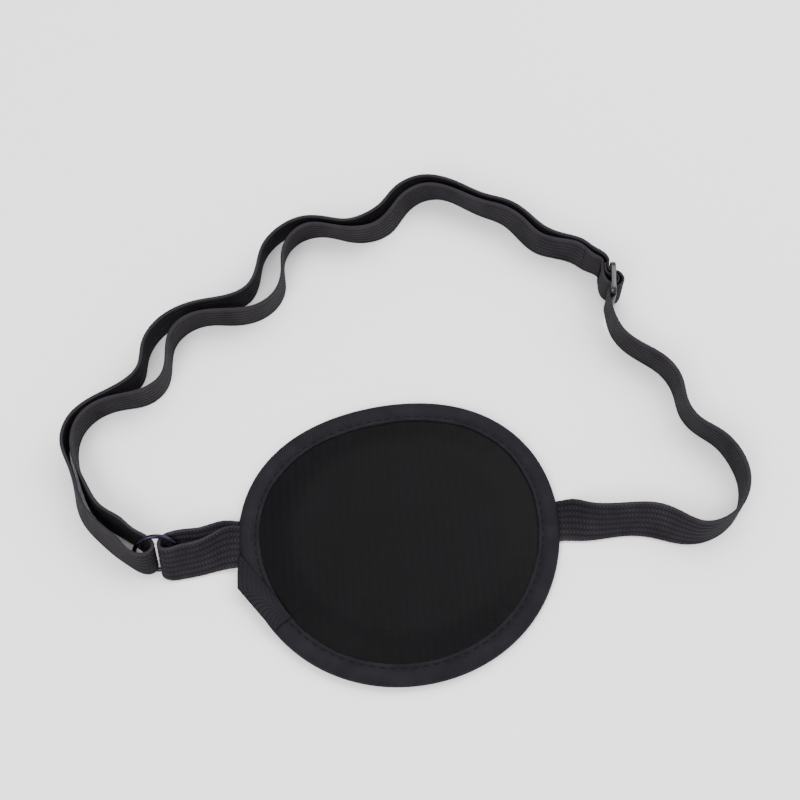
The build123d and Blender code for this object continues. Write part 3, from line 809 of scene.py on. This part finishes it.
# ---- elastic ----
@dataclass
class Elastic:
    """Ribbed elastic tape: its section is a thin bar with round ribs along both faces."""

    width: float = 12.0
    thick: float = 1.0
    ribs: int = 7
    groove: float = 0.26  # share of the thickness lost between ribs
    columns: int = 62  # points across each face

    def section(self, width: np.ndarray, thick: np.ndarray) -> tuple[np.ndarray, np.ndarray]:
        """Outlines along the tape: half the thickness, less at each groove, rounded off at both edges.

        Args:
            width: Width at each place.
            thick: Thickness at each place.

        Returns:
            The outlines, and how many ribs across each of their points is.
        """
        share = (1 - np.cos(np.linspace(0.0, np.pi, self.columns))) / 2
        share = 0.35 * share + 0.65 * np.linspace(0, 1, self.columns)
        rib = np.abs(np.sin(np.pi * self.ribs * share)) ** 0.7
        from_edge = np.minimum(share, 1 - share) * self.width
        round_off = np.sqrt(1 - np.clip(1 - from_edge / 0.45, 0, 1) ** 2)
        half = 0.5 * (1 - self.groove * (1 - rib)) * np.maximum(round_off, 0.05)
        across = np.r_[share, share[::-1]] - 0.5
        height = np.r_[half, -half[::-1]]
        outline = np.stack([width[:, None] * across, thick[:, None] * height], -1)
        return outline, (across + 0.5) * self.ribs

    def lay(self, points: Route) -> np.ndarray:
        """Stops of a run that lies or stands on the table.

        Each point is X, Y and height of the lower edge and the roll: 0 lies flat to the left of the way it
        runs, and 90 stands on edge.

        Args:
            points: The points, in order.

        Returns:
            Edge, direction across, width and thickness at each stop.
        """
        given = np.array(points, float)
        way = np.gradient(given[:, :2], axis=0)
        way /= np.linalg.norm(way, axis=1, keepdims=True)
        roll = np.radians(given[:, 3:4])
        across = np.concatenate([np.stack([-way[:, 1], way[:, 0]], 1) * np.cos(roll), np.sin(roll)], 1)
        edge = given[:, :3] + [0, 0, 1] * (self.thick / 2 * np.abs(np.cos(roll)))
        return self.stops(edge, across)

    def lean(self, points: Route, width: float = 12.0) -> np.ndarray:
        """Stops of a run that leans back towards +Y, whatever way it runs.

        Args:
            points: X, Y, height of the lower edge and roll of each.
            width: The run's width, kept about the tape's middle line.

        Returns:
            Edge, direction across, width and thickness at each stop.
        """
        given = np.array(points, float)
        roll = np.radians(given[:, 3:4])
        across = np.concatenate([0 * roll, np.cos(roll), np.sin(roll)], 1)
        edge = given[:, :3] + [0, 0, 1] * (self.thick / 2 * np.abs(np.cos(roll)))
        edge = edge + across * (width - self.width) / 2
        made = self.stops(edge, across)
        made[:, 6] = width
        return made

    def stops(self, edge: np.ndarray, across: np.ndarray, thick: float | None = None) -> np.ndarray:
        """Joins edge, direction across, width and thickness in one array."""
        sizes = np.full((len(edge), 2), [self.width, self.thick if thick is None else thick])
        return np.concatenate([edge, across, sizes], 1)

    def places(self, stops: np.ndarray) -> np.ndarray:
        """Distance along the lower edge to each stop."""
        return np.r_[0, np.cumsum(np.linalg.norm(np.diff(stops[:, :3], axis=0), axis=1))]

    def piece(self, name: str, stops: np.ndarray, first: int, last: int, pitch: float) -> Piece:
        """Stretch of a tape between two of its stops.

        A cubic curve through the stops gives edge, direction across, width and thickness; the section
        stands on that direction and on the one square to it and to the way the edge runs.

        Args:
            name: The piece's name.
            stops: All the tape's stops.
            first: Stop it starts at.
            last: Stop it ends at.
            pitch: Spacing of the sections.

        Returns:
            The piece.
        """
        knots = self.places(stops)
        count = max(6, round((knots[last] - knots[first]) / pitch))
        at = np.linspace(knots[first], knots[last], count)
        read = spline(knots, stops, at)
        small = 0.02
        ahead = spline(knots, stops, np.minimum(at + small, knots[-1]))
        behind = spline(knots, stops, np.maximum(at - small, 0))
        way = ahead[:, :3] - behind[:, :3]
        way /= np.linalg.norm(way, axis=1, keepdims=True)
        across = read[:, 3:6] / np.linalg.norm(read[:, 3:6], axis=1, keepdims=True)
        out = np.cross(across, way)
        out /= np.linalg.norm(out, axis=1, keepdims=True)
        width = read[:, 6] + 0.06 * np.sin(at * 2 * np.pi / 1.9)
        section, rib = self.section(width, read[:, 7])
        centres = read[:, :3] + across * self.width / 2
        uv = np.stack(np.broadcast_arrays(rib[None], at[:, None]), -1)
        made = grid_object(name, carry(centres, across, out, section), uv)
        return ELASTIC.dress(made, "elastic")

    def length(self, stops: np.ndarray, first: int, last: int) -> float:
        """Length of a stretch, in metres."""
        knots = self.places(stops)
        return float(knots[last] - knots[first]) * MM


@dataclass
class Slider:
    """Slide adjuster: a rounded frame with a bar across its middle, standing on edge in the strap."""

    length: float = 11.5
    height: float = 14.6
    thick: float = 1.6
    bar: float = 1.5
    rail: float = 1.2
    heading: float = 84.0
    middle: tuple[float, float] = (68.5, 70.7)
    strap_bottom: float = 1.3
    strap_thick: float = 0.7
    corners: float = 7.0  # squareness of the frame seen from its face
    edges: float = 4.5  # squareness of its bars' section
    steps: int = 160  # sections round the frame

    def axes(self) -> tuple[np.ndarray, np.ndarray]:
        """Directions along the strap and out of its loop."""
        turn = math.radians(self.heading)
        return np.array([math.cos(turn), math.sin(turn), 0]), np.array([math.sin(turn), -math.cos(turn), 0])

    def place(self, points: list[tuple[float, float]], height: float) -> np.ndarray:
        """Points given as distances along the strap and out of the loop, at a height."""
        along, out = self.axes()
        given = np.array(points, float)
        base = np.array([*self.middle, height])
        return base + given[:, :1] * along + given[:, 1:] * out

    def route(self, tape: Elastic, points: list[tuple[float, float]], thick: float) -> np.ndarray:
        """Stops of elastic that stands on edge beside or in the slider."""
        edge = self.place(points, self.strap_bottom)
        return tape.stops(edge, np.tile([0.0, 0.0, 1.0], (len(edge), 1)), thick)

    def build(self) -> None:
        """Builds the frame as one bar bent round, and the middle bar that joins its two rails."""
        along, out = self.axes()
        turn = np.linspace(0, 2 * np.pi, self.steps, endpoint=False)
        half = np.array([self.length - self.bar, self.height - self.rail]) / 2
        wave = np.stack([np.cos(turn), np.sin(turn)], 1)
        bent = np.sign(wave) * np.abs(wave) ** (2 / self.corners) * half
        run = np.r_[0, np.cumsum(np.linalg.norm(np.diff(np.r_[bent, bent[:1]], axis=0), axis=1))]
        even = np.linspace(0, run[-1], self.steps, endpoint=False)
        ring = np.stack([np.interp(even, run, np.r_[bent[:, k], bent[0, k]]) for k in (0, 1)], 1)
        way = np.roll(ring, -1, 0) - np.roll(ring, 1, 0)
        way /= np.linalg.norm(way, axis=1, keepdims=True)
        base = np.array([*self.middle, self.height / 2])
        centres = base + ring[:, :1] * along + ring[:, 1:] * [0.0, 0.0, 1.0]
        side = way[:, 1:] * along - way[:, :1] * [0.0, 0.0, 1.0]
        upright = np.abs(way[:, 1:]) ** 2
        size = self.rail + (self.bar - self.rail) * upright
        section = rounded(1.0, self.thick, self.edges, 20)[None] * np.stack([size, np.ones_like(size)], -1)
        frame_grid = carry(centres, side, np.tile(out, (len(ring), 1)), section.reshape(len(ring), 20, 2))
        loop = grid_object("slider_frame", frame_grid, wrap_rows=True)
        rise = np.linspace(-1, 1, 24)[:, None] * (self.height / 2 - self.rail * 0.6)
        post = base + rise * [0.0, 0.0, 1.0]
        bar = rounded(self.bar + 0.1, self.thick, 3.5, 20)
        middle = carry(post, np.tile(along, (24, 1)), np.tile(out, (24, 1)), bar)
        cross = grid_object("slider_middle_bar", middle)
        for piece in (loop, cross):
            ENAMEL.dress(piece, "slider_metal")
            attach(piece, Body.SLIDER.value)
        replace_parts(loop, "slider")


@dataclass
class Ring:
    """Plated wire ring that links the strap's fold to the tab's, with the butt of its ends just showing."""

    wire: float = 1.3
    inner: float = 11.3
    roll: float = 62.0
    middle: tuple[float, float] = (-68.2, -2.3)
    lift: float = 0.05
    butt: tuple[float, float, float] = (262.0, 0.16, 0.022)  # turn, depth, half length of the joint
    steps: int = 192

    def build(self) -> None:
        """Builds the torus: a round section carried round a circle in the ring's leaning plane."""
        roll = math.radians(self.roll)
        radius = (self.inner + self.wire) / 2
        height = radius * math.sin(roll) + self.wire / 2 + self.lift
        rise = np.array([0.0, math.cos(roll), math.sin(roll)])
        front = np.array([0.0, -math.sin(roll), math.cos(roll)])
        turn = np.linspace(0, 2 * np.pi, self.steps, endpoint=False)
        side = np.cos(turn)[:, None] * [1.0, 0.0, 0.0] + np.sin(turn)[:, None] * rise
        centres = np.array([*self.middle, height]) + side * radius
        where, depth, half = self.butt
        waist = 1 - depth * np.exp(-(((turn - math.radians(where)) / half) ** 2))
        section = rounded(self.wire, self.wire, 2, 28)[None] * waist[:, None, None]
        wire = carry(centres, side, np.tile(front, (self.steps, 1)), section)
        made = grid_object("wire_ring", wire, wrap_rows=True)
        PLATED_STEEL.dress(made, "ring_metal")
        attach(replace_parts(made, "ring"), Body.RING.value)


# ---- the strap and the tab, as they lie: points of the lower edge ----
STRAP_SEAM = [(35.4, -5.4, 0.2, 0), (40.0, -5.4, 0.2, 0), (46.0, -5.45, 0.2, 3)]
STRAP_SINGLE = [
    (52.0, -5.9, 0.1, 36),
    (58.0, -5.5, 0.0, 53),
    (64.5, -5.2, 0.0, 57),
    (71.0, -6.3, 0.0, 53),
    (78.0, -8.5, 0.0, 62),
    (84.5, -8.7, 0.0, 78),
    (91.0, -6.1, 0.0, 87),
    (95.8, -1.2, 0.0, 91),
    (98.1, 6.3, 0.0, 94),
    (96.6, 14.2, 0.0, 94),
    (93.0, 20.5, 0.0, 90),
    (88.0, 25.0, 0.0, 88),
    (84.6, 30.5, 0.0, 91),
    (83.6, 37.5, 0.0, 93),
    (80.8, 44.0, 0.0, 91),
    (74.6, 49.6, 0.0, 89),
    (69.4, 54.8, 0.3, 89),
]
FEED_IN = [(67.4, 59.2, 0.8, 90)]
HUMP = [
    (-6.15, -1.25), (-4.4, -1.4), (-3.25, -1.0), (-2.65, 0.0), (-2.35, 1.5), (-1.45, 2.5), (0.0, 3.05),
    (1.45, 2.5), (2.35, 1.5), (2.65, 0.0), (3.25, -1.0), (4.4, -1.4), (6.15, -1.25),
]
FEED_OUT = [(66.9, 79.4, 1.0, 90)]
STRAP_OUTER = [
    (63.8, 82.0, 0.6, 91),
    (61.6, 84.0, 0.5, 92),
    (56.0, 87.2, 0.0, 91),
    (50.0, 90.3, 0.0, 92),
    (45.6, 95.0, 0.0, 93),
    (40.6, 100.9, 0.0, 87),
    (34.3, 104.3, 0.0, 83),
    (28.5, 108.2, 0.0, 81),
    (21.8, 112.0, 0.0, 80),
    (13.5, 111.8, 0.0, 86),
    (6.6, 106.8, 0.0, 93),
    (2.2, 101.8, 0.0, 93),
    (-2.8, 99.6, 0.0, 88),
    (-8.2, 99.1, 0.0, 82),
    (-14.5, 100.8, 0.0, 79),
    (-22.0, 100.8, 0.0, 83),
    (-30.2, 97.4, 0.0, 83),
    (-35.6, 90.0, 0.0, 86),
    (-37.2, 82.8, 0.0, 88),
    (-40.0, 77.8, 0.0, 87),
    (-45.6, 75.2, 0.0, 86),
    (-53.0, 74.4, 0.0, 85),
    (-61.0, 71.9, 0.0, 87),
    (-67.6, 66.8, 0.0, 89),
    (-71.0, 60.0, 0.0, 90),
    (-72.4, 53.4, 0.0, 89),
    (-77.6, 48.6, 0.0, 88),
    (-85.6, 44.6, 0.0, 88),
    (-92.2, 39.0, 0.0, 89),
    (-94.2, 31.2, 0.0, 90),
    (-92.3, 23.2, 0.0, 87),
    (-91.2, 15.0, 0.0, 81),
    (-88.9, 9.3, 0.0, 80),
    (-84.6, 4.0, 0.0, 80),
    (-79.8, -0.8, 0.3, 80),
]
STRAP_FOLD = [
    (-75.6, -4.2, 0.7, 79),
    (-72.2, -6.3, 1.0, 75),
    (-69.9, -6.3, 1.1, 71),
    (-68.8, -4.9, 1.1, 69),
    (-69.4, -3.2, 1.0, 70),
    (-71.4, -0.8, 0.8, 74),
    (-74.6, 2.2, 0.4, 79),
]
STRAP_INNER = [
    (61.6, 81.2, 0.6, 93),
    (60.2, 82.5, 0.5, 94),
    (55.0, 85.5, 0.0, 91),
    (48.5, 88.0, 0.0, 92),
    (43.5, 93.5, 0.0, 94),
    (39.0, 99.0, 0.0, 87),
    (33.0, 102.3, 0.0, 83),
    (27.3, 106.0, 0.0, 81),
    (21.3, 109.2, 0.0, 80),
    (14.8, 108.8, 0.0, 86),
    (9.0, 104.2, 0.0, 94),
    (4.8, 98.8, 0.0, 95),
    (-1.2, 96.0, 0.0, 87),
    (-8.0, 96.3, 0.0, 82),
    (-14.5, 98.4, 0.0, 79),
    (-21.3, 98.2, 0.0, 83),
    (-26.8, 94.5, 0.0, 84),
    (-29.3, 88.0, 0.0, 87),
    (-29.2, 81.0, 0.0, 90),
    (-32.2, 74.8, 0.0, 87),
    (-38.0, 71.1, 0.0, 86),
    (-45.0, 70.3, 0.0, 87),
    (-52.2, 70.8, 0.0, 85),
    (-58.8, 68.6, 0.0, 87),
    (-63.0, 63.6, 0.0, 89),
    (-64.0, 56.8, 0.0, 90),
    (-65.8, 50.2, 0.0, 88),
    (-71.2, 46.0, 0.0, 89),
    (-78.8, 44.9, 0.0, 87),
    (-85.2, 42.7, 0.0, 88),
    (-90.0, 37.8, 0.0, 89),
    (-91.6, 31.0, 0.0, 89),
    (-90.6, 24.0, 0.0, 87),
    (-88.4, 16.4, 0.0, 82),
    (-84.3, 9.8, 0.0, 82),
    (-79.0, 5.6, 0.0, 81),
]
FEED_BACK = [(64.6, 79.2, 1.0, 92)]
BAR_LOOP = [
    (6.15, -3.05), (4.65, -3.05), (2.9, -3.0), (1.0, -2.7), (-0.9, -1.5), (-1.45, -0.5), (-1.4, 0.8),
    (-0.75, 1.4), (0.75, 1.4), (1.4, 0.8), (1.45, -0.5), (1.8, -1.4), (3.0, -2.15), (4.2, -2.25),
    (5.15, -2.25),
]
TAB_FRONT = [
    (-35.8, -6.8, 1.3, 0),
    (-41.0, -6.8, 1.3, 0),
    (-46.6, -6.75, 1.1, 10),
    (-51.3, -7.0, 0.3, 38),
    (-57.1, -7.9, 0.0, 53),
    (-62.0, -8.5, 0.0, 55),
]
TAB_FOLD = [
    (-65.2, -8.5, 0.1, 60),
    (-67.0, -7.4, 0.2, 63),
    (-67.2, -6.0, 0.2, 64),
    (-66.4, -4.6, 0.1, 63),
]
TAB_BACK = [
    (-63.6, -3.9, 0.0, 59),
    (-60.0, -4.0, 0.0, 55),
    (-56.0, -4.4, 0.0, 50),
    (-51.5, -4.7, 0.1, 33),
    (-46.6, -4.8, 0.2, 6),
    (-41.0, -4.8, 0.2, 0),
    (-35.8, -4.8, 0.2, 0),
]


@dataclass
class Strap:
    """The long elastic: sewn to the patch, threaded through the slider, round the ring and back."""

    tape: Elastic = field(default_factory=Elastic)
    slider: Slider = field(default_factory=Slider)
    pitch: float = 0.85
    fine_pitch: float = 0.3
    twist: tuple[float, float] = (46.0, 57.0)  # where it twists as the loop swings
    gathered: float = 10.2  # width where the ring draws it in

    def build(self) -> None:
        """Works the whole route out as one, then cuts it where the frame's bodies change."""
        tape, slider = self.tape, self.slider
        thin = slider.strap_thick
        fold = tape.lean(STRAP_FOLD, self.gathered)
        inner = tape.lay(STRAP_INNER)[::-1]
        outer = tape.lay(STRAP_OUTER)
        runs = [
            tape.lay(STRAP_SEAM + STRAP_SINGLE),
            tape.lay([STRAP_SINGLE[-1]] + FEED_IN)[1:],
            slider.route(tape, HUMP, thin),
            tape.lay(FEED_OUT + [STRAP_OUTER[0]])[:-1],
            np.concatenate([outer, fold, inner]),
            tape.lay([STRAP_INNER[0]] + FEED_BACK)[1:],
            slider.route(tape, BAR_LOOP, thin),
        ]
        stops = np.concatenate(runs)
        ends = np.cumsum([len(run) for run in runs])
        seam_end, hump_start, hump_end = ends[0] - 1, ends[1], ends[2] - 1
        double_start, double_end, loop_start = ends[3], ends[4] - 1, ends[5]
        start = tape.piece("strap_single_run", stops, 0, seam_end, self.pitch)
        feed_in = tape.piece("strap_to_slider", stops, seam_end, hump_start, self.pitch / 2)
        hump = tape.piece("strap_over_bar", stops, hump_start, hump_end, self.fine_pitch)
        feed_out = tape.piece("strap_from_slider", stops, hump_end, double_start, self.pitch / 2)
        double = tape.piece("strap_double_run", stops, double_start, double_end, self.pitch)
        feed_back = tape.piece("strap_back_to_slider", stops, double_end, loop_start, self.pitch / 2)
        loop = tape.piece("strap_sewn_loop", stops, loop_start, len(stops) - 1, self.fine_pitch)
        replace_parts(start, "strap_sewn_end", "strap_single")
        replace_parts(feed_in, "strap_feed_in")
        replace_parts(hump, "strap_in_slider")
        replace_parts(feed_out, "strap_feed_out")
        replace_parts(double, "strap_outer", "strap_fold", "strap_inner")
        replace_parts(feed_back, "strap_feed_back")
        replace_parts(loop, "strap_bar_loop")
        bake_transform(start)
        for piece, first, last in (
            (feed_in, seam_end, hump_start),
            (feed_out, double_start, hump_end),
            (feed_back, double_end, loop_start),
        ):
            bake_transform(piece)
        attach(hump, Body.SLIDER.value)
        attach(loop, Body.SLIDER.value)
        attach(double, Body.LOOP.value)
        single_run = tape.length(stops, 0, seam_end)
        long_run = tape.length(stops, double_start, double_end)
        log.info("strap: single run %.0f mm, double run %.0f mm", single_run / MM, long_run / MM)


@dataclass
class Tab:
    """Short elastic folded round the ring, with both ends sewn behind the patch."""

    tape: Elastic = field(default_factory=Elastic)
    pitch: float = 0.5
    twist: tuple[float, float] = (-46.4, -57.0)

    def build(self) -> None:
        """Builds the tab as one folded length that twists beside the patch."""
        tape = self.tape
        front = tape.lean(TAB_FRONT)
        fold = tape.lean(TAB_FOLD)
        back = tape.lean(TAB_BACK)
        stops = np.concatenate([front, fold, back])
        made = tape.piece("ring_tab", stops, 0, len(stops) - 1, self.pitch)
        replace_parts(made, "tab_sewn_end", "tab_front", "tab_back", "tab_fold")
        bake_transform(made)
        flat = (tape.width * MM, tape.length(stops, 0, len(stops) - 1))
        log.info("tab: %.0f mm", flat[1] / MM)


@dataclass
class BarTack:
    """Close zigzag of thread across an elastic's end."""

    node: str
    body: Body
    middle: np.ndarray
    across: np.ndarray
    along: np.ndarray
    width: float = 10.5
    depth: float = 1.4
    teeth: int = 15
    radius: float = 0.16

    def build(self) -> None:
        """Builds the zigzag: a triangle wave along the elastic, carried across its width."""
        share = np.linspace(-0.5, 0.5, self.teeth * 8 + 1)
        wave = 2 * np.abs(2 * ((share * self.teeth) % 1) - 1) - 1
        path = self.middle + share[:, None] * self.width * self.across
        path = path + (wave * self.depth / 2)[:, None] * self.along
        made = grid_object(f"{self.node}_zigzag", thread_grid(path, self.radius))
        THREAD.dress(made, "thread")
        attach(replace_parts(made, self.node), self.body.value)


# ---- studio ----
LAMPS = [  # name, place in metres, side in metres and power in watts
    ("key_light", (-0.35, -0.5, 0.8), 0.5, 9.0),
    ("fill_light", (0.6, 0.3, 0.7), 0.6, 6.0),
    ("top_light", (0.1, 0.5, 0.9), 0.7, 7.0),
]


@dataclass
class Studio:
    """Plain pale floor, soft light and the camera."""

    target: tuple[float, float, float] = (3.04, 41.91, 0.0)
    azimuth: float = -4.34
    elevation: float = 66.0
    distance: float = 472.7
    lens: float = 72.19
    sensor: float = 36.0

    def camera(self) -> None:
        """Aims the camera at the target from its azimuth and elevation."""
        turn, rise = math.radians(self.azimuth), math.radians(self.elevation)
        back = Vector((math.sin(turn) * math.cos(rise), -math.cos(turn) * math.cos(rise), math.sin(rise)))
        data = bpy.data.cameras.new("camera")
        data.lens = self.lens
        data.sensor_width = self.sensor
        data.clip_start = 0.02
        made = bpy.data.objects.new("camera", data)
        made.location = (Vector(self.target) + back * self.distance) * MM
        made.rotation_mode = "QUATERNION"
        made.rotation_quaternion = (-back).to_track_quat("-Z", "Y")
        bpy.context.scene.collection.objects.link(made)
        bpy.context.scene.camera = made

    def lamp(self, name: str, place: tuple[float, float, float], size: float, power: float) -> None:
        """Adds a square soft light that faces the object.

        Args:
            name: The light's name.
            place: Where it stands, in metres.
            size: Its side, in metres.
            power: Its power, in watts.
        """
        data = bpy.data.lights.new(name, "AREA")
        data.size = size
        data.energy = power
        made = bpy.data.objects.new(name, data)
        made.location = place
        made.rotation_mode = "QUATERNION"
        made.rotation_quaternion = (Vector(self.target) * MM - made.location).to_track_quat("-Z", "Y")
        bpy.context.scene.collection.objects.link(made)

    def build(self) -> None:
        """Sets the camera, the floor, the lights and an even pale surround."""
        self.camera()
        mesh = bpy.data.meshes.new("paper_floor")
        side = 3.0
        corners = [(-side, -side, 0), (side, -side, 0), (side, side, 0), (-side, side, 0)]
        mesh.from_pydata(corners, [], [(0, 1, 2, 3)])
        floor = bpy.data.objects.new("paper_floor", mesh)
        bpy.context.scene.collection.objects.link(floor)
        mesh.materials.append(PAPER.material())
        for name, place, size, power in LAMPS:
            self.lamp(name, place, size, power)
        world = bpy.data.worlds.new("pale_surround")
        world.use_nodes = True
        world.node_tree.nodes["Background"].inputs["Color"].default_value = (1, 1, 1, 1)
        world.node_tree.nodes["Background"].inputs["Strength"].default_value = 1.05
        bpy.context.scene.world = world


def sewn_tacks() -> list[BarTack]:
    """Bar tacks at the two seams behind the patch and beside the slider.

    Returns:
        The tacks, not yet built.
    """
    patch, slider = PaddedPatch(), Slider()
    right = patch.outline.at(np.array(0.0), patch.seam_inset)[0]
    left = patch.outline.at(np.array(np.pi), patch.seam_inset)[0]
    along, _ = slider.axes()
    last_layer = (4.6, -3.05 - slider.strap_thick / 2)  # along the strap, and in from the slider's middle
    beside = slider.place([last_layer], slider.strap_bottom + 6.0)[0]
    height = 0.19  # middle of the thread, under the elastic
    tab_back_y = 1.2
    x_way, y_way, z_way = np.eye(3)
    return [
        BarTack("strap_stitches", Body.PATCH, np.array([right, patch.strap_y, height]), y_way, x_way),
        BarTack("tab_stitches", Body.PATCH, np.array([left, tab_back_y, height]), y_way, x_way),
        BarTack("slider_stitches", Body.SLIDER, beside, z_way, along, width=10.0),
    ]


def main() -> None:
    """Builds the studio and every piece, in order."""
    logging.basicConfig(level=logging.INFO)
    Studio().build()
    PaddedPatch().build()
    Strap().build()
    Tab().build()
    Ring().build()
    Slider().build()
    for tack in sewn_tacks():
        tack.build()


if __name__ == "__main__":
    main()
